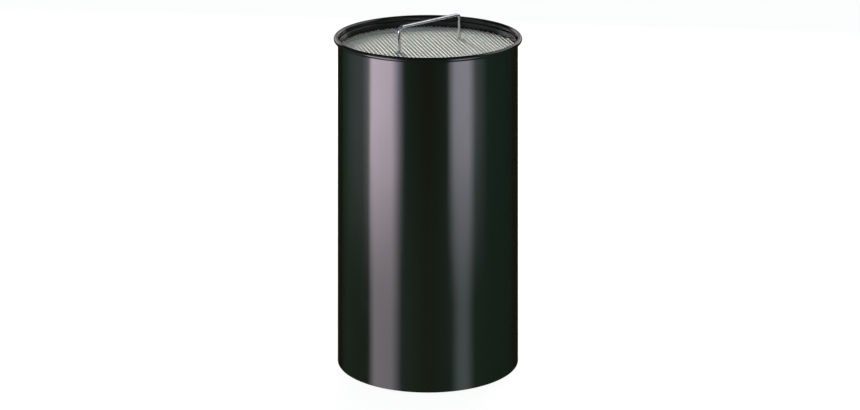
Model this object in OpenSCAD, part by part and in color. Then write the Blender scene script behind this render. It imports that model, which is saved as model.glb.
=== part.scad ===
// Free-standing round sand bin for cigarette ends: a rolled steel shell, a
// lift-out sand pan and a lift-out welded mesh screen with a bent wire handle.
// Millimetres. +Z is up, the origin is on the floor under the shell's axis,
// and -Y is the front.

/* [Shell] */
// Height of the rolled rim above the floor
body_h = 540; // [450:5:700]
// Outside diameter of the shell
body_d = 300; // [280:5:360]
// Thickness of the shell's sheet steel
shell_t = 1; // [0.8:0.1:1.5]
// Outside diameter of the curled rim's roll
rim_roll_d = 8; // [6:0.5:10]
// How far the curl turns, from the wall over the top and back under
rim_curl_angle = 308; // [270:1:312]

/* [Base] */
// Gap between the shell's lower edge and the floor
floor_gap = 2; // [1:0.5:5]
// Height of the base plate's underside above the shell's lower edge
base_recess = 12; // [10:1:20]
// Thickness of the base plate
base_t = 1.2; // [1:0.1:2]
// Height of the pressed centre panel above the rest of the base plate
panel_rise = 4; // [2:0.5:6]
// Diameter of the pressed centre panel
panel_d = 130; // [100:5:150]
// Diameter of the circle that the feet stand on
foot_pcd = 220; // [200:5:230]
// Diameter of a rubber foot where it meets the base plate
foot_d = 36; // [30:1:40]

/* [Sand pan] */
// Depth of the pan's edge below the top of the rim
pan_drop = 8; // [6:0.5:12]
// Height of the pan
pan_h = 54; // [46:1:80]
// Thickness of the pan's sheet steel
pan_t = 1; // [0.8:0.1:1.2]
// Gap between the pan's hem and the shell, for lifting it out
pan_clearance = 1.2; // [1:0.1:2.5]
// Depth of the hem folded over the pan's edge
hem_h = 8; // [5:0.5:10]
// Outside radius of the pan's bottom corner
pan_corner_r = 6; // [4:0.5:8]

/* [Screen] */
// Depth of the middle of the welded mesh below the top of the rim
screen_drop = 18; // [17:0.5:20]
// Spacing of the screen's wires
mesh_pitch = 6.35; // [6.3:0.05:7]
// Diameter of a screen wire
mesh_wire_d = 1.2; // [1:0.1:1.2]
// Turn of the mesh about the bin's axis
mesh_angle = 14; // [0:1:45]
// Gap between the wires' cut ends and the pan's wall
screen_clearance = 0.8; // [0.5:0.1:2]

/* [Handle] */
// Diameter of the handle's wire
handle_wire_d = 5; // [4:0.1:5]
// Height of the handle's centre line above the rim
handle_rise = 24.5; // [15:0.5:40]
// Bend radius of the handle's centre line
handle_bend_r = 7; // [6:0.5:15]

/* [Sand] */
// Depth of the sand's middle below the middle of the mesh
sand_drop = 3.5; // [3.5:0.5:10]
// How much lower the sand lies at the pan's wall
sand_dome = 5; // [5:0.5:8]

/* [Hidden] */
$fn = 96;

shell_r = body_d / 2;
shell_inner_r = shell_r - shell_t;
roll_r = rim_roll_d / 2;
weld_gap = 0.05;      // clearance left between parts that are welded or stacked

base_z = floor_gap + base_recess;
flange_r = shell_inner_r - weld_gap;
flange_bend_r = 4;
panel_slope = 5;      // width of the pressed step round the centre panel

foot_angles = [-45, 45, 135, 225];
foot_end_d = 32;      // where the foot stands on the floor
foot_edge = 1;        // bevel round its lower edge
foot_band_h = 3;      // straight band under the base plate
foot_pocket_r = 6.5;
foot_pocket_h = 5;
screw_hole_r = 2.75;

screw_r = 2.5;        // M5 button-head screws, washers and nuts
screw_head_r = 4.75;
screw_head_h = 3;
screw_head_edge = 1;  // straight edge of the head, under the bevelled part
screw_head_bevel = 1.5;
hex_key_flats = 3;
hex_key_depth = 1.6;
m5_washer_r = 5;
m5_washer_t = 1;
m5_washer_hole_r = 2.65;
nut_flats = 8;
nut_h = 4;
thread_gap = 0.05;
screw_tip = 1.5;      // how far the screw stands out of its nut
foot_washer_z = base_z + base_t + weld_gap;
foot_nut_z = foot_washer_z + m5_washer_t + weld_gap;
screw_z = foot_pocket_h - weld_gap;
screw_len = foot_nut_z + nut_h + screw_tip - screw_z;

pan_top_z = body_h - pan_drop;
pan_z = pan_top_z - pan_h;
hem_gap = 0.2;        // between the two layers of the folded hem
hem_outer_r = shell_inner_r - pan_clearance;
hem_inner_r = hem_outer_r - pan_t;
pan_outer_r = hem_inner_r - hem_gap;
pan_inner_r = pan_outer_r - pan_t;

bracket_t = 2;
bracket_w = 26;
bracket_leg_h = 22;
bracket_reach = 20;
bracket_angles = [90, 210, 330];

mesh_z = body_h - screen_drop;
mesh_wire_r = mesh_wire_d / 2;
wire_gap = 0.01;      // half the gap between the two layers of wires
screen_r = pan_inner_r - screen_clearance;
mesh_half_t = mesh_wire_d + wire_gap;

handle_r = handle_wire_d / 2;
handle_z = body_h + handle_rise;
leg_left = [-9 * mesh_pitch, -5.5 * mesh_pitch];   // each leg stands in the middle of a
leg_right = [10 * mesh_pitch, 5.5 * mesh_pitch];   // cell of the mesh, in the mesh's own turn
backing_washer_r = 10;
backing_washer_t = 1.2;
rivet_r = 4;
rivet_h = 1.9;
rivet_bevel = 1.4;
weld_r = 4;
weld_h = 1.2;
stack_gap = 0.02;
washer_z = mesh_z + mesh_half_t + stack_gap;
backing_z = mesh_z - mesh_half_t - stack_gap - backing_washer_t;
rivet_z = backing_z - stack_gap - rivet_h;

sand_z = pan_z + pan_t + weld_gap;
sand_r = pan_inner_r - 2 * weld_gap;
sand_top_z = mesh_z - sand_drop;
sand_chamfer = pan_corner_r - 1.5;
dome_r = (sand_r * sand_r + sand_dome * sand_dome) / (2 * sand_dome);

// A sector of a disc from angle a0 to angle a1, wide enough to cut a ring of radius r.
module sector(r, a0, a1) {
    steps = 6;
    polygon(concat(
        [[0, 0]],
        [for (i = [0:steps]) 2 * r * [cos(a0 + (a1 - a0) * i / steps), sin(a0 + (a1 - a0) * i / steps)]]
    ));
}

// A quarter of a bent sheet: outside radius r, thickness t, in the quadrant that starts at angle a.
module quarter_bend(r, t, a) {
    intersection() {
        difference() {
            circle(r);
            circle(r - t);
        }
        rotate(a)
            square(r);
    }
}

module washer(outer_r, inner_r, t) {
    difference() {
        cylinder(r = outer_r, h = t);
        translate([0, 0, -1])
            cylinder(r = inner_r, h = t + 2);
    }
}

// Shell: one rolled sheet with a curled rim.
module shell() {
    color([0.04, 0.045, 0.04])
        rotate_extrude() {
            translate([shell_inner_r, floor_gap])
                square([shell_t, body_h - roll_r - floor_gap]);
            translate([shell_inner_r + roll_r, body_h - roll_r])
                difference() {
                    circle(roll_r);
                    circle(roll_r - shell_t);
                    sector(roll_r, 180, 540 - rim_curl_angle);
                }
        }
}

// Base plate: a pressed disc with a turned-down flange and a raised centre panel.
module base_plate() {
    color([0.05, 0.055, 0.05])
        difference() {
            rotate_extrude() {
                polygon([
                    [0, base_z + panel_rise],
                    [panel_d / 2 - panel_slope, base_z + panel_rise],
                    [panel_d / 2, base_z],
                    [flange_r - flange_bend_r, base_z],
                    [flange_r - flange_bend_r, base_z + base_t],
                    [panel_d / 2 + base_t / 2, base_z + base_t],
                    [panel_d / 2 - panel_slope + base_t / 2, base_z + panel_rise + base_t],
                    [0, base_z + panel_rise + base_t]
                ]);
                translate([flange_r - flange_bend_r, base_z + base_t - flange_bend_r])
                    quarter_bend(flange_bend_r, base_t, 0);
                translate([flange_r - base_t, floor_gap])
                    square([base_t, base_z + base_t - flange_bend_r - floor_gap]);
            }
            for (a = foot_angles)
                at_foot(a)
                    cylinder(r = screw_hole_r, h = 3 * base_z);
        }
}

module at_foot(a) {
    rotate(a)
        translate([foot_pcd / 2, 0, 0])
            rotate(-a)
                children();
}

// One rubber foot, with a pocket underneath for the screw's head.
module foot(a) {
    color([0.06, 0.06, 0.06])
        at_foot(a)
            difference() {
                rotate_extrude()
                    polygon([
                        [0, 0],
                        [foot_end_d / 2 - foot_edge, 0],
                        [foot_end_d / 2, foot_edge],
                        [foot_d / 2, base_z - foot_band_h],
                        [foot_d / 2, base_z - weld_gap],
                        [0, base_z - weld_gap]
                    ]);
                translate([0, 0, -1])
                    cylinder(r = foot_pocket_r, h = foot_pocket_h + 1);
                cylinder(r = screw_hole_r, h = base_z + 1);
            }
}

// A button-head screw with its head below z = 0 and its shank above.
module button_screw() {
    difference() {
        union() {
            cylinder(r = screw_r - thread_gap, h = screw_len);
            translate([0, 0, -screw_head_edge])
                cylinder(r = screw_head_r, h = screw_head_edge);
            translate([0, 0, -screw_head_h])
                cylinder(
                    r1 = screw_head_r - screw_head_bevel,
                    r2 = screw_head_r,
                    h = screw_head_h - screw_head_edge
                );
        }
        translate([0, 0, -screw_head_h - 1])
            cylinder(r = hex_key_flats / sqrt(3), h = hex_key_depth + 1, $fn = 6);
    }
}

// The feet's screws: heads in the feet's pockets, shanks up through the base plate.
module foot_screws() {
    color([0.75, 0.75, 0.76])
        for (a = foot_angles)
            at_foot(a)
                translate([0, 0, screw_z])
                    button_screw();
}

module foot_washers() {
    color([0.75, 0.75, 0.76])
        for (a = foot_angles)
            at_foot(a)
                translate([0, 0, foot_washer_z])
                    washer(m5_washer_r, m5_washer_hole_r, m5_washer_t);
}

module foot_nuts() {
    color([0.75, 0.75, 0.76])
        for (a = foot_angles)
            at_foot(a)
                translate([0, 0, foot_nut_z])
                    difference() {
                        cylinder(r = nut_flats / sqrt(3), h = nut_h, $fn = 6);
                        translate([0, 0, -1])
                            cylinder(r = screw_r, h = nut_h + 2);
                    }
}

// One welded bracket: a leg curved to the shell, and a shelf under the pan.
module pan_bracket(a) {
    shelf_z = pan_z - weld_gap - bracket_t;
    leg_r = shell_inner_r - weld_gap;
    color([0.05, 0.055, 0.05])
        rotate(a)
            intersection() {
                rotate_extrude() {
                    translate([leg_r - bracket_reach, shelf_z])
                        square([bracket_reach, bracket_t]);
                    translate([leg_r - bracket_t, shelf_z - bracket_leg_h])
                        square([bracket_t, bracket_leg_h + bracket_t]);
                }
                translate([shell_r / 2, -bracket_w / 2, 0])
                    cube([shell_r, bracket_w, body_h]);
            }
}

// Sand pan: a pressed dish with a rounded corner and a folded hem.
module sand_pan() {
    fold_r = (hem_outer_r - pan_inner_r) / 2;
    wall_h = pan_h - pan_corner_r - fold_r;
    color([0.05, 0.055, 0.05])
        rotate_extrude() {
            translate([0, pan_z])
                square([pan_outer_r - pan_corner_r, pan_t]);
            translate([pan_outer_r - pan_corner_r, pan_z + pan_corner_r])
                quarter_bend(pan_corner_r, pan_t, 270);
            translate([pan_inner_r, pan_z + pan_corner_r])
                square([pan_t, wall_h]);
            translate([hem_inner_r, pan_top_z - hem_h])
                square([pan_t, hem_h - fold_r]);
            translate([pan_inner_r + fold_r, pan_top_z - fold_r])
                intersection() {
                    difference() {
                        circle(fold_r);
                        circle(hem_gap / 2);
                    }
                    translate([-fold_r, 0])
                        square([2 * fold_r, fold_r]);
                }
        }
}

// Sand: fills the pan, slightly domed, with its lower corner clear of the pan's bend.
module sand() {
    color([0.83, 0.79, 0.68])
        rotate_extrude()
            difference() {
                intersection() {
                    translate([0, sand_z])
                        square([sand_r, sand_top_z - sand_z]);
                    translate([0, sand_top_z - dome_r])
                        circle(dome_r, $fn = 720);
                }
                translate([sand_r, sand_z])
                    rotate(45)
                        square(sqrt(2) * sand_chamfer, center = true);
            }
}

// One family of parallel wires along Y, at whole steps of the pitch plus a phase.
// A wire that would be a mere sliver at the screen's edge is left out.
module wire_family(phase, z) {
    count = floor(screen_r / mesh_pitch);
    for (i = [-count - 1:count]) {
        x = (i + phase) * mesh_pitch;
        if (abs(x) < screen_r - mesh_pitch / 4) {
            wire_len = 2 * sqrt(screen_r * screen_r - x * x);
            translate([x, 0, z])
                rotate([90, 0, 0])
                    cylinder(r = mesh_wire_r, h = wire_len, center = true, $fn = 24);
        }
    }
}

module screen_top_wires() {
    color([0.78, 0.79, 0.8])
        rotate(mesh_angle)
            wire_family(0.5, mesh_z + mesh_wire_r + wire_gap);
}

module screen_bottom_wires() {
    color([0.78, 0.79, 0.8])
        rotate(mesh_angle + 90)
            wire_family(0, mesh_z - mesh_wire_r - wire_gap);
}

// A leg of the handle at the origin: riveted over below the mesh, welded above it.
module handle_leg() {
    translate([0, 0, rivet_z + rivet_h / 2])
        cylinder(r = handle_r, h = handle_z - handle_bend_r - rivet_z - rivet_h / 2);
    translate([0, 0, rivet_z + rivet_h / 2])
        cylinder(r = rivet_r, h = rivet_h / 2);
    translate([0, 0, rivet_z])
        cylinder(r1 = rivet_r - rivet_bevel, r2 = rivet_r, h = rivet_h / 2);
    translate([0, 0, washer_z + m5_washer_t + stack_gap])
        cylinder(r1 = weld_r, r2 = handle_r, h = weld_h);
}

// Handle: one wire bent into two legs and a straight grip.
module handle() {
    span = norm(leg_right - leg_left);
    turn = atan2(leg_right[1] - leg_left[1], leg_right[0] - leg_left[0]);
    color([0.8, 0.8, 0.82])
        rotate(mesh_angle)
            translate([leg_left[0], leg_left[1], 0])
                rotate(turn) {
                    handle_leg();
                    translate([span, 0, 0])
                        handle_leg();
                    translate([handle_bend_r, 0, handle_z])
                        rotate([0, 90, 0])
                            cylinder(r = handle_r, h = span - 2 * handle_bend_r);
                    translate([handle_bend_r, 0, handle_z - handle_bend_r])
                        handle_bend(90);
                    translate([span - handle_bend_r, 0, handle_z - handle_bend_r])
                        handle_bend(0);
                }
}

// A quarter turn of wire in the XZ plane, starting at angle a from +X.
module handle_bend(a) {
    rotate([90, 0, 0])
        rotate(a)
            rotate_extrude(angle = 90)
                translate([handle_bend_r, 0])
                    circle(handle_r);
}

module at_leg(p) {
    rotate(mesh_angle)
        translate([p[0], p[1], 0])
            children();
}

module handle_washer(p) {
    color([0.8, 0.74, 0.52])
        at_leg(p)
            translate([0, 0, washer_z])
                washer(m5_washer_r, m5_washer_hole_r, m5_washer_t);
}

module backing_washer(p) {
    color([0.75, 0.75, 0.76])
        at_leg(p)
            translate([0, 0, backing_z])
                washer(backing_washer_r, m5_washer_hole_r, backing_washer_t);
}

shell();
base_plate();
foot(foot_angles[0]);  // foot_front_right
foot(foot_angles[1]);  // foot_back_right
foot(foot_angles[2]);  // foot_back_left
foot(foot_angles[3]);  // foot_front_left
foot_screws();
foot_washers();
foot_nuts();
pan_bracket(bracket_angles[0]);  // pan_bracket_back
pan_bracket(bracket_angles[1]);  // pan_bracket_front_left
pan_bracket(bracket_angles[2]);  // pan_bracket_front_right
sand_pan();
sand();
screen_top_wires();
screen_bottom_wires();
handle();
handle_washer(leg_left);  // handle_washer_left
handle_washer(leg_right);  // handle_washer_right
backing_washer(leg_left);  // backing_washer_left
backing_washer(leg_right);  // backing_washer_right
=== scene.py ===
"""Looks of a free-standing ash bin: black enamelled shell, sand pan, sand, welded-mesh screen and handle.

Everything is in metres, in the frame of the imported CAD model. The front of the bin faces -Y.
"""

import math

import bmesh
import bpy
import numpy as np
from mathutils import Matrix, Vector, noise

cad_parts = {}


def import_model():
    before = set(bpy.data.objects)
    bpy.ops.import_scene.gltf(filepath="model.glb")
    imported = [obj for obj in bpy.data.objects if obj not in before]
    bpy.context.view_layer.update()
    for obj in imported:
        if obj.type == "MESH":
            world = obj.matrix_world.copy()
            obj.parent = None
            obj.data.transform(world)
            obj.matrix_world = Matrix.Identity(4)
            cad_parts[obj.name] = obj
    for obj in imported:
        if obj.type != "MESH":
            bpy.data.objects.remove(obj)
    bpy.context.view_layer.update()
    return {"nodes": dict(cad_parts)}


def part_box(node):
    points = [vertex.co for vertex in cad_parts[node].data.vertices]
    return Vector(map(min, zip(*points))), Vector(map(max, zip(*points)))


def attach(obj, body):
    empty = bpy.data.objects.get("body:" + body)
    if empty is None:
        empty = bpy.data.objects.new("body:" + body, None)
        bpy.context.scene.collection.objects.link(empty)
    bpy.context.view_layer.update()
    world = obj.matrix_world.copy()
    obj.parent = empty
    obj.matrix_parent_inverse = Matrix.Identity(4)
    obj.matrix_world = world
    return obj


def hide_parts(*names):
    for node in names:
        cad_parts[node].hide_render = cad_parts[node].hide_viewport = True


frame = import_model()

MM = 0.001

# ---------------------------------------------------------------- sizes that the boxes don't give
SHEET = 1.0 * MM
ROLL_R = 4.0 * MM
CURL_ANGLE = 308
EDGE = 0.15 * MM  # bevel on a cut sheet edge
BASE_SHEET = 1.2 * MM
BASE_RECESS = 12.0 * MM
PANEL_RISE = 4.0 * MM
PANEL_R = 65.0 * MM
PANEL_SLOPE = 5.0 * MM
FOLD_GAP = 0.2 * MM
HEM_H = 8.0 * MM
PAN_CORNER_R = 6.0 * MM
BRACKET_SHEET = 2.0 * MM
BRACKET_W = 26.0 * MM
FOOT_POCKET_R = 6.5 * MM
FOOT_POCKET_H = 5.0 * MM
FOOT_BORE_R = 2.75 * MM
MESH_PITCH = 6.35 * MM
MESH_ANGLE = math.radians(14)
HANDLE_BEND_R = 7.0 * MM
WASHER_HOLE_R = 2.65 * MM
RIVET_STEPS = ((0.0, 2.6), (0.5, 3.5), (0.95, 4.0), (1.89, 4.0), (1.9, 2.5))  # height and radius in mm
WELD_H = 1.6 * MM
WELD_SPREAD = 1.5 * MM
WELD_ROWS = 9
SAND_DOME = 5.0 * MM
SAND_CELLS = 296  # along each side of the net that is bent to a disc
SAND_LUMPS = ((0.55, 0.3, 34), (0.3, 1.7, 110), (0.26, 4.1, 520))  # height in mm, layer, lumps per metre
DENT_DEPTH = 0.9 * MM
DENT_R = 7.0 * MM
WIRE_CROP = 0.35 * MM  # most that a wire's end is cut short
WIRE_WANDER = 0.05 * MM
DRIP_SHARE = 0.28

# ---------------------------------------------------------------- places taken from the frame
shell_low, shell_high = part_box("shell")
RIM_Z = shell_high.z
FLOOR_GAP = shell_low.z
RIM_OUTER_R = shell_high.x
WALL_IN_R = round(RIM_OUTER_R / MM) * MM - 2 * ROLL_R
pan_low, pan_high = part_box("sand_pan")
screen_low, screen_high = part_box("screen_top_wires")
WIRE_R = (screen_high.z - screen_low.z) / 2
bottom_low, bottom_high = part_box("screen_bottom_wires")
MESH_Z = (screen_low.z + bottom_high.z) / 2
SCREEN_R = bottom_high.y
handle_low, handle_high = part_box("handle")
LEG_R = 2.5 * MM


def centre(node):
    low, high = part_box(node)
    return (low + high) / 2


# ---------------------------------------------------------------- mesh helpers
def arc(middle, radius, start, end, steps):
    """Points of an arc in a profile, from angle start to angle end in degrees."""
    return [
        (middle[0] + radius * math.cos(a), middle[1] + radius * math.sin(a))
        for a in np.radians(np.linspace(start, end, steps + 1))
    ]


def revolve(profile, segments):
    """A closed profile of (radius, height) turned about Z. A point at radius 0 is a pole."""
    points, rings, faces = [], [], []
    turns = np.linspace(0, 2 * math.pi, segments, endpoint=False)
    for r, z in profile:
        if r < 1e-9:
            rings.append([len(points)] * segments)
            points.append((0, 0, z))
        else:
            rings.append(list(range(len(points), len(points) + segments)))
            points.extend((r * math.cos(a), r * math.sin(a), z) for a in turns)
    for low, high in zip(rings, rings[1:] + rings[:1]):
        for k in range(segments):
            n = (k + 1) % segments
            face = list(dict.fromkeys((low[k], low[n], high[n], high[k])))
            if len(face) > 2:
                faces.append(face)
    return points, faces


def tube(path, side, radii, sides):
    """A closed tube round a path in one plane. side is the plane's normal; radii is (rings, sides)."""
    path = np.asarray(path, float)
    side = np.asarray(side, float)
    tangent = np.gradient(path, axis=0)
    tangent /= np.linalg.norm(tangent, axis=1)[:, None]
    up = np.cross(side, tangent)
    turns = np.linspace(0, 2 * math.pi, sides, endpoint=False)
    radii = np.broadcast_to(radii, (len(path), sides))
    spoke = np.cos(turns)[None, :, None] * side + np.sin(turns)[None, :, None] * up[:, None, :]
    points = (path[:, None, :] + radii[:, :, None] * spoke).reshape(-1, 3)
    faces = []
    for i in range(len(path) - 1):
        for k in range(sides):
            n = (k + 1) % sides
            faces.append((i * sides + k, i * sides + n, (i + 1) * sides + n, (i + 1) * sides + k))
    faces.append(tuple(range(sides)))
    faces.append(tuple(range((len(path) - 1) * sides, len(path) * sides)))
    return points, faces


def joined(parts):
    """One (points, faces) from several."""
    points, faces, offset = [], [], 0
    for p, f in parts:
        points.append(np.asarray(p, float))
        faces.extend(tuple(i + offset for i in face) for face in f)
        offset += len(p)
    return np.concatenate(points), faces


def moved(part, shift):
    points, faces = part
    return np.asarray(points, float) + np.asarray(shift, float), faces


def piece(name, part, material, body, replaced, sharp=30, attributes=None):
    """Makes a shown piece from (points, faces) that stands for CAD nodes and rides on a body."""
    points, faces = part
    mesh = bpy.data.meshes.new(name)
    mesh.from_pydata([tuple(p) for p in points], [], faces)
    for key, values in (attributes or {}).items():
        mesh.attributes.new(key, "FLOAT", "POINT").data.foreach_set("value", values)
    work = bmesh.new()
    work.from_mesh(mesh)
    bmesh.ops.recalc_face_normals(work, faces=work.faces)
    work.to_mesh(mesh)
    work.free()
    mesh.shade_smooth()
    mesh.set_sharp_from_angle(angle=math.radians(sharp))
    mesh.materials.append(material)
    obj = bpy.data.objects.new(name, mesh)
    bpy.context.scene.collection.objects.link(obj)
    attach(obj, body)
    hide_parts(*replaced)
    return obj


# ---------------------------------------------------------------- materials
class Shader:
    """A material made of nodes."""

    def __init__(self, name):
        self.material = bpy.data.materials.new(name)
        self.material.use_nodes = True
        self.tree = self.material.node_tree
        self.tree.nodes.clear()
        self.output = self.tree.nodes.new("ShaderNodeOutputMaterial")

    def add(self, kind, inputs=None, out=0, **settings):
        """Adds a node and returns one of its outputs. inputs holds values or other nodes' outputs."""
        made = self.tree.nodes.new("ShaderNode" + kind)
        for key, value in settings.items():
            setattr(made, key, value)
        for key, value in (inputs or {}).items():
            if isinstance(value, bpy.types.NodeSocket):
                self.tree.links.new(value, made.inputs[key])
            else:
                made.inputs[key].default_value = value
        return made.outputs[out]

    def noise(self, coords, scale, detail=2.0, rough=0.5):
        inputs = {"Vector": coords, "Scale": scale, "Detail": detail, "Roughness": rough}
        return self.add("TexNoise", inputs)

    def math(self, operation, a, b=0.0, c=0.0):
        return self.add("Math", {0: a, 1: b, 2: c}, operation=operation)

    def remap(self, value, low, high, to_low, to_high, curve="LINEAR"):
        return self.add(
            "MapRange",
            {0: value, 1: low, 2: high, 3: to_low, 4: to_high},
            interpolation_type=curve,
        )

    def mix(self, share, a, b):
        return self.add("Mix", {0: share, 6: a, 7: b}, out=2, data_type="RGBA")

    def ramp(self, value, stops):
        """A colour ramp with (position, colour) stops."""
        out = self.add("ValToRGB", {0: value})
        elements = out.node.color_ramp.elements
        while len(elements) < len(stops):
            elements.new(0.5)
        for element, (position, colour) in zip(elements, stops):
            element.position = position
            element.color = colour
        return out

    def bump(self, height, distance, normal=None):
        inputs = {"Height": height, "Distance": distance, "Strength": 1.0}
        if normal is not None:
            inputs["Normal"] = normal
        return self.add("Bump", inputs)

    def stretched(self, coords, scale):
        return self.add("VectorMath", {0: coords, 1: scale}, operation="MULTIPLY")

    def place(self):
        return self.add("TexCoord", out=3)

    def attribute(self, name):
        return self.add("Attribute", out=2, attribute_name=name)

    def surface(self, inputs):
        shader = self.add("BsdfPrincipled", inputs)
        self.tree.links.new(shader, self.output.inputs["Surface"])
        return self.material


def rgb(r, g, b):
    return (r, g, b, 1.0)


def enamel(name, gloss=0.09, seam=False):
    """Stove enamel over steel: near black, with orange peel, faint dust and hairline rub marks."""
    s = Shader(name)
    at = s.place()
    peel = s.noise(at, 420, detail=1.0)
    sway = s.noise(s.stretched(at, (1, 1, 0.35)), 14, detail=1.0)
    dust = s.noise(at, 2600, detail=3.0, rough=0.7)
    cloud = s.noise(s.stretched(at, (1, 1, 0.5)), 22, detail=4.0)
    rubs = s.noise(s.stretched(at, (60, 60, 900)), 1.0, detail=2.0)
    specks = s.remap(dust, 0.66, 0.74, 0.0, 0.35)
    colour = s.mix(specks, rgb(0.0066, 0.0068, 0.0042), rgb(0.035, 0.036, 0.032))
    rough = s.remap(cloud, 0.35, 0.7, gloss, gloss + 0.05)
    rough = s.math("MULTIPLY_ADD", s.remap(rubs, 0.6, 0.75, 0.0, 1.0), 0.03, rough)
    normal = s.bump(sway, 0.00045)
    normal = s.bump(peel, 0.000012, normal)
    if seam:
        along = s.add("SeparateXYZ", {0: at})
        x, y = along.node.outputs[0], along.node.outputs[1]
        ridge = s.remap(s.math("ABSOLUTE", x), 0.0012, 0.0032, 1.0, 0.0, "SMOOTHSTEP")
        ridge = s.math("MULTIPLY", ridge, s.remap(y, 0.0, 0.01, 0.0, 1.0))
        ridge = s.math("MULTIPLY", ridge, s.remap(s.noise(at, 160), 0.3, 0.7, 0.55, 1.0))
        normal = s.bump(ridge, 0.00012, normal)
    return s.surface({"Base Color": colour, "Roughness": rough, "IOR": 1.53, "Normal": normal})


def plating(name, colour, rough, rusty=False):
    """Plated or galvanised steel: spangle and dull patches. Rust sits at wire ends and in a few specks."""
    s = Shader(name)
    at = s.place()
    spangle = s.add("TexVoronoi", {"Vector": at, "Scale": 900.0}, out=1)
    spangle = s.add("SeparateColor", {0: spangle})
    cloud = s.noise(at, 140, detail=4.0)
    dull = rgb(*(0.72 * c for c in colour))
    base = s.mix(s.remap(cloud, 0.4, 0.7, 0.0, 0.75), rgb(*colour), dull)
    base = s.mix(s.math("MULTIPLY", spangle, 0.18), base, rgb(*(0.6 * c for c in colour)))
    roughness = s.remap(cloud, 0.3, 0.7, rough, rough + 0.08)
    normal = s.bump(s.noise(at, 2200, detail=2.0), 0.000003)
    metal = 1.0
    if rusty:
        edge = s.remap(s.attribute("end_distance"), 0.0, 0.006, 1.0, 0.0)
        patch = s.remap(s.noise(at, 60, detail=3.0), 0.47, 0.57, 0.0, 1.0)
        speck = s.remap(s.noise(at, 170, detail=1.0), 0.69, 0.73, 0.0, 1.0)
        rust = s.math("MAXIMUM", s.math("MULTIPLY", edge, patch), speck)
        base = s.mix(rust, base, rgb(0.6, 0.2, 0.05))
        roughness = s.math("MULTIPLY_ADD", rust, 0.4, roughness)
        metal = s.remap(rust, 0.0, 1.0, 0.6, 0.1)
    return s.surface(
        {"Base Color": base, "Metallic": metal, "Roughness": roughness, "Normal": normal}
    )


def yellow_zinc(name):
    """Chromated zinc: yellow, with faint green and pink bands."""
    s = Shader(name)
    at = s.place()
    bands = s.noise(at, 260, detail=2.0)
    base = s.ramp(
        bands,
        [
            (0.3, rgb(0.75, 0.62, 0.3)),
            (0.5, rgb(0.82, 0.74, 0.46)),
            (0.62, rgb(0.8, 0.6, 0.42)),
            (0.75, rgb(0.6, 0.66, 0.4)),
        ],
    )
    normal = s.bump(s.noise(at, 1800, detail=2.0), 0.00001)
    rough = s.remap(bands, 0.3, 0.7, 0.28, 0.42)
    return s.surface({"Base Color": base, "Metallic": 0.5, "Roughness": rough, "Normal": normal})


def sand_grains(name):
    """Dry pale sand: grains of quartz, feldspar and a few dark ones, with painted shade in the gaps between
    grains.
    """
    s = Shader(name)
    at = s.place()
    cells = s.add("TexVoronoi", {"Vector": at, "Scale": 1100.0, "Randomness": 1.0}, out=1)
    pick = s.add("SeparateColor", {0: cells})
    depth = s.add("TexVoronoi", {"Vector": at, "Scale": 1100.0, "Randomness": 1.0}, out=0)
    grain = s.ramp(
        pick,
        [
            (0.0, rgb(0.3, 0.25, 0.17)),
            (0.05, rgb(0.74, 0.67, 0.5)),
            (0.4, rgb(0.88, 0.83, 0.7)),
            (0.75, rgb(0.95, 0.93, 0.86)),
            (0.93, rgb(0.7, 0.58, 0.4)),
            (1.0, rgb(0.98, 0.97, 0.94)),
        ],
    )
    damp = s.remap(s.noise(at, 30, detail=3.0), 0.35, 0.7, 0.0, 0.3)
    base = s.mix(damp, grain, rgb(0.72, 0.68, 0.58))
    # painted shade: the colour darkens towards each grain's edge, in the gaps where grains meet
    base = s.mix(s.remap(depth, 0.3, 0.75, 0.0, 0.45), base, rgb(0.42, 0.38, 0.3))
    normal = s.bump(depth, -0.0004)
    normal = s.bump(s.noise(at, 2600, detail=2.0), 0.00008, normal)
    return s.surface({"Base Color": base, "Roughness": 0.85, "Normal": normal})


def rubber(name):
    """Moulded rubber with a fine matt grain and a grey bloom."""
    s = Shader(name)
    at = s.place()
    bloom = s.remap(s.noise(at, 90, detail=4.0), 0.4, 0.7, 0.0, 1.0)
    base = s.mix(bloom, rgb(0.018, 0.018, 0.018), rgb(0.045, 0.045, 0.043))
    rough = s.remap(bloom, 0.0, 1.0, 0.5, 0.72)
    normal = s.bump(s.noise(at, 1500, detail=3.0), 0.00004)
    return s.surface({"Base Color": base, "Roughness": rough, "Normal": normal})


shell_enamel = enamel("shell_enamel", seam=True)
inner_enamel = enamel("inner_enamel", gloss=0.12)
zinc_wire = plating("zinc_wire", (0.78, 0.79, 0.8), 0.18, rusty=True)
bright_zinc = plating("bright_zinc", (0.7, 0.72, 0.73), 0.12)
fastener_zinc = plating("fastener_zinc", (0.7, 0.7, 0.71), 0.26)
washer_zinc = yellow_zinc("washer_zinc")
pale_sand = sand_grains("pale_sand")
black_rubber = rubber("black_rubber")


# ---------------------------------------------------------------- shell and base
def shell_part():
    """A rolled sheet whose top edge curls outwards and back under itself."""
    roll = (WALL_IN_R + ROLL_R, RIM_Z - ROLL_R)
    wall_out = WALL_IN_R + SHEET
    end = 180 - CURL_ANGLE
    profile = [(WALL_IN_R + EDGE, FLOOR_GAP), (WALL_IN_R, FLOOR_GAP + EDGE)]
    profile += arc(roll, ROLL_R, 180, end, 40)
    profile += arc(roll, ROLL_R - SHEET, end, 180, 30)
    profile += [(wall_out, FLOOR_GAP + EDGE), (wall_out - EDGE, FLOOR_GAP)]
    return revolve(profile, 288)


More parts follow.
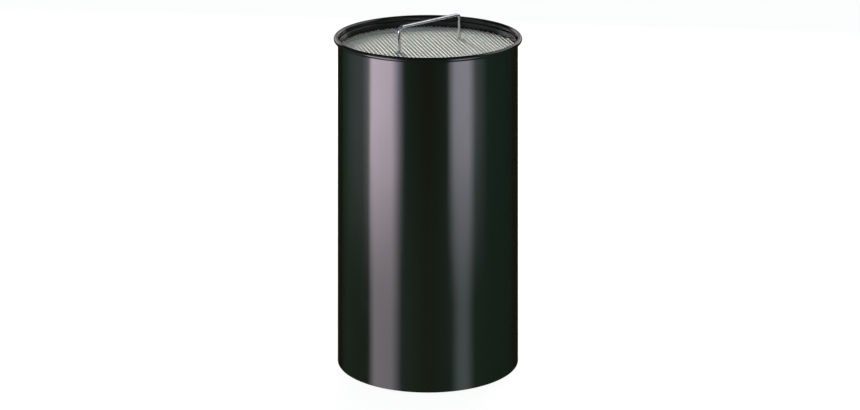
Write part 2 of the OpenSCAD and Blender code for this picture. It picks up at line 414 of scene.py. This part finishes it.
def base_part():
    """A pressed disc: flange down, raised centre panel."""
    under = FLOOR_GAP + BASE_RECESS
    over = under + BASE_SHEET
    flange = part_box("base_plate")[1].x
    bend = (flange - 4 * MM, over - 4 * MM)
    half = BASE_SHEET / 2
    profile = [
        (0, under + PANEL_RISE),
        (PANEL_R - PANEL_SLOPE - half, under + PANEL_RISE),
        (PANEL_R - half, under),
    ]
    profile += [(bend[0], under)]
    profile += arc(bend, 4 * MM - BASE_SHEET, 90, 0, 8)
    profile += [(flange - BASE_SHEET, FLOOR_GAP + EDGE), (flange - BASE_SHEET + EDGE, FLOOR_GAP)]
    profile += [(flange - EDGE, FLOOR_GAP), (flange, FLOOR_GAP + EDGE)]
    profile += arc(bend, 4 * MM, 0, 90, 12)
    profile += [
        (PANEL_R + half, over),
        (PANEL_R - PANEL_SLOPE + half, over + PANEL_RISE),
        (0, over + PANEL_RISE),
    ]
    return revolve(profile, 192)


piece("shell_finished", shell_part(), shell_enamel, "root", ["shell"])
piece("base_plate_finished", base_part(), inner_enamel, "root", ["base_plate"], sharp=50)


def foot_part(node):
    """A rubber foot with rounded edges and a pocket underneath for the screw."""
    low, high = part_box(node)
    middle = (low + high) / 2
    top_r = (high.x - low.x) / 2
    end_r = top_r - 2 * MM
    top = high.z
    profile = [(FOOT_BORE_R, top), (FOOT_BORE_R, FOOT_POCKET_H), (FOOT_POCKET_R - 0.4 * MM, FOOT_POCKET_H)]
    profile += [(FOOT_POCKET_R, FOOT_POCKET_H - 0.4 * MM), (FOOT_POCKET_R, 0.5 * MM)]
    profile += [(FOOT_POCKET_R + 0.5 * MM, 0)]
    profile += arc((end_r - 1.5 * MM, 1.5 * MM), 1.5 * MM, -90, -10, 8)
    profile += [(top_r, top - 3 * MM)]
    profile += arc((top_r - 0.8 * MM, top - 0.8 * MM), 0.8 * MM, 0, 90, 5)
    return moved(revolve(profile, 64), (middle.x, middle.y, 0))


for side in ("front_right", "back_right", "back_left", "front_left"):
    node = "foot_" + side
    piece(node + "_finished", foot_part(node), black_rubber, "root", [node], sharp=40)

for node in ("foot_screws", "foot_washers", "foot_nuts"):
    obj = frame["nodes"][node]
    obj.data.materials.clear()
    obj.data.materials.append(fastener_zinc)
    edge = obj.modifiers.new("edge", "BEVEL")
    edge.width = 0.15 * MM
    edge.segments = 2
    edge.angle_limit = math.radians(40)


def bracket_part(turn):
    """A bent strip whose leg and shelf follow the shell's curve."""
    top = pan_low.z - 0.05 * MM
    outer = WALL_IN_R - 0.05 * MM
    reach, leg_h = 20 * MM, 22 * MM
    t = BRACKET_SHEET
    inside = (outer - t - 1 * MM, top - t - 1 * MM)
    profile = arc((outer - 3 * MM, top - 3 * MM), 3 * MM, 0, 90, 8)
    profile += [(outer - reach + 0.3 * MM, top), (outer - reach, top - 0.3 * MM)]
    profile += [(outer - reach, top - t)]
    profile += arc(inside, 1 * MM, 90, 0, 5)
    profile += [(outer - t, top - t - leg_h), (outer, top - t - leg_h)]
    points, faces = [], []
    across = np.concatenate([[-1, -0.98], np.linspace(-0.9, 0.9, 13), [0.98, 1]]) * BRACKET_W / 2
    rings = []
    for y in across:
        rings.append(len(points))
        for r, z in profile:
            x = math.sqrt(r * r - y * y)
            points.append((x, y, z))
    n = len(profile)
    for a, b in zip(rings, rings[1:]):
        for j in range(n):
            faces.append((a + j, a + (j + 1) % n, b + (j + 1) % n, b + j))
    faces.append(tuple(range(n)))
    faces.append(tuple(range(rings[-1], rings[-1] + n)))
    c, s = math.cos(turn), math.sin(turn)
    points = [(x * c - y * s, x * s + y * c, z) for x, y, z in points]
    return points, faces


for node in ("pan_bracket_back", "pan_bracket_front_left", "pan_bracket_front_right"):
    middle = centre(node)
    turn = math.atan2(middle.y, middle.x)
    piece(node + "_finished", bracket_part(turn), inner_enamel, "root", [node], sharp=40)


# ---------------------------------------------------------------- pan and sand
def pan_part():
    """A pressed pan with a round corner and its top edge folded outwards and down."""
    low, top = pan_low.z, pan_high.z
    hem_out = pan_high.x
    outer = hem_out - SHEET - FOLD_GAP
    inner = outer - SHEET
    fold_r = (hem_out - inner) / 2
    fold = (inner + fold_r, top - fold_r)
    corner = (outer - PAN_CORNER_R, low + PAN_CORNER_R)
    profile = [(0, low)]
    profile += arc(corner, PAN_CORNER_R, -90, 0, 10)
    profile += arc(fold, FOLD_GAP / 2, 180, 0, 6)
    hem_low = top - HEM_H
    profile += [(hem_out - SHEET, hem_low), (hem_out - EDGE, hem_low), (hem_out, hem_low + EDGE)]
    profile += arc(fold, fold_r, 0, 180, 14)
    profile += arc(corner, PAN_CORNER_R - SHEET, 0, -90, 10)
    profile += [(0, low + SHEET)]
    return revolve(profile, 256)


legs = {side: centre("handle_washer_" + side) for side in ("left", "right")}


def sand_height(x, y, radius, middle_z):
    """Height of the sand: a low dome with soft hollows, grains, and a dent under each leg's rivet."""
    z = middle_z - SAND_DOME * (x * x + y * y) / (radius * radius)
    for lump, layer, scale in SAND_LUMPS:
        z += lump * MM * noise.noise(Vector((x, y, layer)) * scale)
    for leg in legs.values():
        gap = math.hypot(x - leg.x, y - leg.y)
        z -= DENT_DEPTH * math.exp(-((gap / DENT_R) ** 4))
    return z


def sand_part():
    """The sand's top is a square net bent to a disc, so its cells are about 1 mm everywhere."""
    low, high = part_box("sand")
    radius = high.x
    count = SAND_CELLS
    chamfer = PAN_CORNER_R - 1.5 * MM
    points, index = [], {}
    steps = np.linspace(-1, 1, count + 1)
    for i, u in enumerate(steps):
        for j, v in enumerate(steps):
            reach = max(abs(u), abs(v))
            if reach < 1e-9:
                x = y = 0.0
            elif abs(u) >= abs(v):
                turn = math.pi / 4 * v / u
                x, y = u * math.cos(turn), u * math.sin(turn)
            else:
                turn = math.pi / 4 * u / v
                x, y = v * math.sin(turn), v * math.cos(turn)
            index[i, j] = len(points)
            points.append((x * radius, y * radius, sand_height(x * radius, y * radius, radius, high.z)))
    faces = [
        (index[i, j], index[i + 1, j], index[i + 1, j + 1], index[i, j + 1])
        for i in range(count)
        for j in range(count)
    ]
    border = [index[i, 0] for i in range(count)]
    border += [index[count, j] for j in range(count)]
    border += [index[i, count] for i in range(count, 0, -1)]
    border += [index[0, j] for j in range(count, 0, -1)]
    above = border
    for shrink, z in ((0, low.z + chamfer), (chamfer, low.z)):
        below = list(range(len(points), len(points) + len(border)))
        scale = 1 - shrink / radius
        points += [(points[k][0] * scale, points[k][1] * scale, z) for k in border]
        faces += [
            (above[k - 1], above[k], below[k], below[k - 1]) for k in range(len(border))
        ]
        above = below
    faces.append(tuple(above))
    return points, faces


piece("sand_pan_finished", pan_part(), inner_enamel, "pan", ["sand_pan"])
piece("sand_finished", sand_part(), pale_sand, "pan", ["sand"], sharp=60)


# ---------------------------------------------------------------- screen
def mesh_point(u, v, z):
    """A point given by its distances along the mesh's two directions."""
    c, s = math.cos(MESH_ANGLE), math.sin(MESH_ANGLE)
    return np.stack([u * c - v * s, u * s + v * c, np.broadcast_to(z, np.shape(u))], axis=-1)


def wire_offsets(phase):
    count = int(SCREEN_R / MESH_PITCH) + 1
    spots = (np.arange(-count, count + 1) + phase) * MESH_PITCH
    return spots[abs(spots) < SCREEN_R - MESH_PITCH / 4]


def wires_part(phase, z, swapped, seed):
    """Straight wires of one direction, each with the slight wander of wire off a coil and a cropped end."""
    rng = np.random.default_rng(seed)
    sides = 10
    parts, ends = [], []
    for offset in wire_offsets(phase):
        half = math.sqrt(SCREEN_R**2 - offset**2)
        first, last = half - rng.uniform(0, 1, 2) * WIRE_CROP
        steps = max(6, int(4 * half / MESH_PITCH))
        run = np.linspace(-first, last, steps)
        wander = WIRE_WANDER * np.sin(run / rng.uniform(18, 40) / MM + rng.uniform(0, 6))
        place = (offset + wander, run) if not swapped else (run, offset + wander)
        path = mesh_point(*place, z)
        side = mesh_point(*((1.0, 0.0) if not swapped else (0.0, -1.0)), 0.0)
        radii = np.full((steps, sides), WIRE_R)
        radii[[0, -1]] *= 0.86
        parts.append(tube(path, side, radii, sides))
        ends.append(np.repeat(np.minimum(run + first, last - run), sides))
    return parts, ends


def welds_part(seed):
    """A bead of zinc round each weld, squeezed between the two wires that cross."""
    rng = np.random.default_rng(seed)
    parts, ends = [], []
    for u in wire_offsets(0.5):
        for v in wire_offsets(0.0):
            edge = SCREEN_R - math.hypot(u, v)
            if edge < 1 * MM:
                continue
            spread = WIRE_R * rng.uniform(1.0, 1.3)
            thick = WIRE_R * rng.uniform(0.35, 0.6)
            profile = [(0, -thick), (0.7 * spread, -0.7 * thick), (spread, 0)]
            profile += [(0.7 * spread, 0.7 * thick), (0, thick)]
            points, faces = moved(revolve(profile, 10), mesh_point(u, v, MESH_Z))
            parts.append((points, faces))
            ends.append(np.full(len(points), edge))
    return parts, ends


def drips_part(seed):
    """Beads of zinc that hang on some of the top wires just inside their back ends."""
    rng = np.random.default_rng(seed)
    parts, ends = [], []
    for u in wire_offsets(0.5):
        if rng.uniform() > DRIP_SHARE:
            continue
        v = math.sqrt(SCREEN_R**2 - u**2) - rng.uniform(1.0, 1.6) * MM
        ball = revolve(arc((0, 0), WIRE_R * rng.uniform(1.15, 1.4), -90, 90, 8), 12)
        ball = moved(ball, mesh_point(u, v, screen_high.z - 1.4 * WIRE_R))
        parts.append(ball)
        ends.append(np.full(len(ball[0]), 1.0))
    return parts, ends


top_wires, top_ends = wires_part(0.5, screen_high.z - WIRE_R, False, 11)
bottom_wires, bottom_ends = wires_part(0.0, bottom_low.z + WIRE_R, True, 12)
welds, weld_ends = welds_part(13)
drips, drip_ends = drips_part(21)
piece(
    "top_wires_welded", joined(top_wires + drips), zinc_wire, "screen",
    ["screen_top_wires"], attributes={"end_distance": np.concatenate(top_ends + drip_ends)},
)
piece(
    "bottom_wires_welded", joined(bottom_wires + welds), zinc_wire, "screen",
    ["screen_bottom_wires"], attributes={"end_distance": np.concatenate(bottom_ends + weld_ends)},
)


def washer_part(node, bevel):
    low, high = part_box(node)
    outer = (high.x - low.x) / 2
    middle = (low + high) / 2
    profile = [
        (WASHER_HOLE_R + bevel, low.z), (WASHER_HOLE_R, low.z + bevel),
        (WASHER_HOLE_R, high.z - bevel), (WASHER_HOLE_R + bevel, high.z),
        (outer - 2 * bevel, high.z), (outer - 0.6 * bevel, high.z - 0.6 * bevel),
        (outer, high.z - 2 * bevel),
        (outer, low.z + bevel), (outer - bevel, low.z),
    ]
    return moved(revolve(profile, 64), (middle.x, middle.y, 0))


for side in ("left", "right"):
    node = "handle_washer_" + side
    piece(node + "_finished", washer_part(node, 0.15 * MM), washer_zinc, "screen", [node])
    node = "backing_washer_" + side
    piece(node + "_finished", washer_part(node, 0.15 * MM), fastener_zinc, "screen", [node])


def handle_part():
    """One wire: riveted below the left backing washer, up, over in two bends, and down on the right."""
    left, right = legs["left"].xy, legs["right"].xy
    span = (right - left).length
    along = (right - left) / span
    foot = handle_low.z
    grip = handle_high.z - LEG_R
    weld_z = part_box("handle_washer_left")[1].z + 0.02 * MM
    rise = [foot + height * MM for height, radius in RIVET_STEPS]
    rise += [weld_z - 0.01 * MM]
    rise += list(np.linspace(weld_z, weld_z + WELD_H, WELD_ROWS))
    rise += list(np.linspace(weld_z + WELD_H + 1 * MM, grip - HANDLE_BEND_R, 12))
    leg = [(0.0, z) for z in rise]
    corner = arc((HANDLE_BEND_R, grip - HANDLE_BEND_R), HANDLE_BEND_R, 180, 90, 14)[1:]
    half = leg + corner
    bar = [(x, grip) for x in np.linspace(HANDLE_BEND_R, span - HANDLE_BEND_R, 26)[1:-1]]
    flat = half + bar + [(span - x, z) for x, z in reversed(half)]
    path = [(left.x + along.x * x, left.y + along.y * x, z) for x, z in flat]
    sides = 32
    radii = np.full((len(path), sides), LEG_R)
    rng = np.random.default_rng(5)
    for order in (1, -1):
        lumps = rng.uniform(0.85, 1.0, 8)
        turns = np.linspace(0, 8, sides, endpoint=False)
        lump = np.interp(turns, np.arange(9), np.append(lumps, lumps[0]))
        rows = radii[::order]
        for row, (height, radius) in zip(rows, RIVET_STEPS):
            row[:] = radius * MM
        first_weld = len(RIVET_STEPS) + 1
        for k in range(WELD_ROWS):
            share = (1 - k / (WELD_ROWS - 1)) ** 2
            rows[first_weld + k] = LEG_R + WELD_SPREAD * share * lump
    side = np.cross([along.x, along.y, 0], [0, 0, 1])
    return tube(path, side, radii, sides)


piece("handle_bent_wire", handle_part(), bright_zinc, "screen", ["handle"], sharp=45)


# ---------------------------------------------------------------- stage
FLOOR_R = 40
FLOOR_GLOW = 1.15
PAPER_SHARE = 0.18


def floor():
    """A pale floor whose own glow keeps it near white, so that only a soft shadow shows."""
    s = Shader("floor_paper")
    at = s.place()
    grain = s.remap(s.noise(at, 300, detail=3.0), 0.3, 0.7, 0.9, 0.93)
    paper = s.add("BsdfDiffuse", {"Color": s.add("CombineColor", {0: grain, 1: grain, 2: grain})})
    glow = s.add("Emission", {"Color": rgb(1, 1, 1), "Strength": FLOOR_GLOW})
    both = s.add("MixShader", {0: PAPER_SHARE, 1: glow, 2: paper})
    s.tree.links.new(both, s.output.inputs["Surface"])
    points, faces = revolve([(0, 0), (FLOOR_R, 0), (FLOOR_R, -0.01), (0, -0.01)], 96)
    mesh = bpy.data.meshes.new("floor")
    mesh.from_pydata([tuple(p) for p in points], [], faces)
    mesh.materials.append(s.material)
    obj = bpy.data.objects.new("floor", mesh)
    bpy.context.scene.collection.objects.link(obj)
    obj.visible_glossy = False


TENT_R = 3.0
TENT_LOW, TENT_HIGH = -4.0, 5.0
TENT_GLOW = 8.5
BACKDROP_HEIGHTS = (0.65, 1.9)


def tent_ramp(s, turn, stops):
    """A colour ramp round the tent. A stop is degrees from the front, + to the right, and a colour."""
    share = s.remap(turn, -math.pi, math.pi, 0.0, 1.0)
    return s.ramp(share, [(0.5 + degrees / 360, rgb(*colour)) for degrees, colour in stops])


def tent_patch(s, turn, height, turns, heights, colour, soft_turn=6, soft_height=0.15):
    """A glowing patch between two turns in degrees and two heights, with soft borders."""
    share = 1.0
    for value, (start, end), soft in (
        (turn, [math.radians(t) for t in turns], math.radians(soft_turn)),
        (height, heights, soft_height),
    ):
        rise = s.remap(value, start - soft, start + soft, 0.0, 1.0, "SMOOTHSTEP")
        fall = s.remap(value, end - soft, end + soft, 1.0, 0.0, "SMOOTHSTEP")
        share = s.math("MULTIPLY", share, s.math("MULTIPLY", rise, fall))
    return s.add("VectorMath", {0: share, 1: colour}, operation="MULTIPLY")


def light_tent():
    """A ring wall seen only in reflections. It glows where the studio's softboxes and backdrop are."""
    s = Shader("light_tent")
    x, y, height = s.add("SeparateXYZ", {0: s.place()}).node.outputs
    turn = s.math("ARCTAN2", x, s.math("MULTIPLY", y, -1.0))
    left = (1.07, 0.91, 1.05)
    right = (0.54, 0.52, 0.6)
    dim = (0.010, 0.028, 0.022)
    front = (0.010, 0.010, 0.005)
    behind = (0.002, 0.002, 0.001)
    upper = tent_ramp(s, turn, [
        (-142, behind), (-125, (0.008, 0.02, 0.014)), (-90, (0.07, 0.085, 0.085)), (-80, (0.2, 0.2, 0.21)),
        (-75, left), (-46, left), (-41, (0.7, 0.6, 0.72)), (-35, (0.27, 0.26, 0.31)), (-29, dim),
        (0, front), (24, dim), (34, right), (52, right), (62, (0.1, 0.12, 0.12)), (80, dim),
        (125, (0.003, 0.008, 0.006)), (140, behind),
    ])
    lower = tent_ramp(s, turn, [
        (-142, behind), (-120, (0.008, 0.014, 0.009)), (-80, (0.012, 0.022, 0.014)),
        (-69, (0.34, 0.31, 0.34)), (-46, (0.34, 0.31, 0.34)), (-33, (0.02, 0.04, 0.03)),
        (0, (0.014, 0.022, 0.012)), (29, (0.012, 0.03, 0.02)), (40, (0.12, 0.15, 0.15)),
        (48, (0.12, 0.15, 0.15)), (60, (0.012, 0.03, 0.02)), (125, (0.003, 0.008, 0.005)), (140, behind),
    ])
    glow = s.mix(s.remap(height, -0.92, -0.45, 0.0, 1.0, "SMOOTHSTEP"), lower, upper)
    under_rim = s.remap(height, 0.2, 0.6, 1.0, 0.05, "SMOOTHSTEP")
    glow = s.add("VectorMath", {0: glow, 1: under_rim}, operation="MULTIPLY")
    backdrop = (0.05, 0.0465, 0.048)
    backdrop_side = (0.09, 0.0835, 0.087)
    boom_light = (0.15, 0.143, 0.15)
    front_haze = (0.005, 0.011, 0.012)
    for patch in (
        ((138, 190), BACKDROP_HEIGHTS, backdrop),
        ((-190, -138), BACKDROP_HEIGHTS, backdrop),
        ((138, 167), BACKDROP_HEIGHTS, backdrop_side),
        ((-167, -138), BACKDROP_HEIGHTS, backdrop_side),
        ((85, 155), (1.6, 4.4), boom_light, 10, 0.3),
        ((-120, 120), (0.8, 4.6), front_haze, 10, 0.1),
    ):
        glow = s.add("VectorMath", {0: glow, 1: tent_patch(s, turn, height, *patch)}, operation="ADD")
    shine = s.add("Emission", {"Color": glow, "Strength": TENT_GLOW})
    s.tree.links.new(shine, s.output.inputs["Surface"])
    points, faces = [], []
    count = 96
    for k in range(count):
        a = 2 * math.pi * k / count
        points += [(TENT_R * math.cos(a), TENT_R * math.sin(a), z) for z in (TENT_LOW, TENT_HIGH)]
    for k in range(count):
        a, b = 2 * k, 2 * ((k + 1) % count)
        faces.append((a, b, b + 1, a + 1))
    mesh = bpy.data.meshes.new("light_tent")
    mesh.from_pydata(points, [], faces)
    mesh.materials.append(s.material)
    obj = bpy.data.objects.new("light_tent", mesh)
    bpy.context.scene.collection.objects.link(obj)
    obj.visible_camera = False
    obj.visible_diffuse = False
    obj.visible_shadow = False
    obj.visible_transmission = False


def area_light(name, place, target, width, height, power, colour, only=()):
    """A soft light. One made for only some pieces also shows in their reflections."""
    data = bpy.data.lights.new(name, "AREA")
    data.shape = "RECTANGLE"
    data.size, data.size_y = width, height
    data.energy = power
    data.color = colour
    obj = bpy.data.objects.new(name, data)
    bpy.context.scene.collection.objects.link(obj)
    obj.location = place
    obj.rotation_euler = (Vector(target) - Vector(place)).to_track_quat("-Z", "Y").to_euler()
    obj.visible_glossy = bool(only)
    obj.visible_camera = False
    if only:
        lit = bpy.data.collections.new(name + "_receivers")
        for piece_name in only:
            lit.objects.link(bpy.data.objects[piece_name])
        obj.light_linking.receiver_collection = lit


def world():
    """White where the camera looks past the floor, and a dim room for everything else."""
    made = bpy.data.worlds.new("studio")
    bpy.context.scene.world = made
    made.use_nodes = True
    tree = made.node_tree
    tree.nodes.clear()
    out = tree.nodes.new("ShaderNodeOutputWorld")
    path = tree.nodes.new("ShaderNodeLightPath")
    shown = None
    for colour, strength, ray in (
        ((0.75, 0.9, 0.95), 0.2, None),
        ((0.4, 0.95, 0.9), 0.06, "Is Glossy Ray"),
        ((1, 1, 1), 1.0, "Is Camera Ray"),
    ):
        layer = tree.nodes.new("ShaderNodeBackground")
        layer.inputs["Color"].default_value = rgb(*colour)
        layer.inputs["Strength"].default_value = strength
        if ray:
            mix = tree.nodes.new("ShaderNodeMixShader")
            tree.links.new(path.outputs[ray], mix.inputs[0])
            tree.links.new(shown.outputs[0], mix.inputs[1])
            tree.links.new(layer.outputs[0], mix.inputs[2])
            shown = mix
        else:
            shown = layer
    tree.links.new(shown.outputs[0], out.inputs["Surface"])


floor()
light_tent()
world()
RIM_TARGET = (0, 0, RIM_Z)
TOP_LAYER = "top_wires_welded"
BOTTOM_LAYER = "bottom_wires_welded"
for light in (
    # name, place, target, width, height, power in W, colour, the only pieces it is made for
    ("backdrop_panel", (0.3, 2.4, 1.15), (0, 0, 1.0), 2.8, 1.0, 110, (1.0, 0.99, 0.92)),
    ("wire_glint", (-1.6, 2.45, 1.28), RIM_TARGET, 1.9, 1.1, 34, (1.0, 0.98, 0.8), [TOP_LAYER]),
    ("mesh_sky", (0.35, 2.0, 2.45), RIM_TARGET, 2.6, 1.4, 85, (0.93, 1.0, 0.98), [TOP_LAYER, BOTTOM_LAYER]),
    ("top_fill", (0, 0.2, 3.2), RIM_TARGET, 2.5, 2.5, 7, (0.94, 0.97, 1.0)),
):
    area_light(*light)


# ---------------------------------------------------------------- camera
CAMERA_SPOT = (0.0, -4.105, 1.496)
LENS = 103.2
SENSOR = 36.0
AIM = (0.0035, 0.2579)  # the point over the bin's axis at the picture's middle: x and z


def hold_shift(data, channel, value, cam, spot):
    """Shifts the lens only while the camera stands on its own spot."""
    driver = data.driver_add(channel).driver
    driver.type = "SCRIPTED"
    gap = driver.variables.new()
    gap.name = "gap"
    gap.type = "LOC_DIFF"
    gap.targets[0].id = cam
    gap.targets[1].id = spot
    driver.expression = f"{value:.5f} if gap < 0.001 else 0.0"


def camera():
    """A level camera with a shifted lens, so that upright lines stay upright."""
    scene = bpy.context.scene
    data = bpy.data.cameras.new("camera")
    data.lens = LENS
    data.sensor_width = SENSOR
    cam = bpy.data.objects.new("camera", data)
    spot = bpy.data.objects.new("camera_spot", None)
    for obj in (cam, spot):
        scene.collection.objects.link(obj)
        obj.location = CAMERA_SPOT
    cam.rotation_euler = (math.radians(90), 0, 0)
    per_metre = LENS / SENSOR / -CAMERA_SPOT[1]
    hold_shift(data, "shift_x", AIM[0] * per_metre, cam, spot)
    hold_shift(data, "shift_y", (AIM[1] - CAMERA_SPOT[2]) * per_metre, cam, spot)
    scene.camera = cam


camera()
bpy.context.scene.view_settings.view_transform = "Standard"
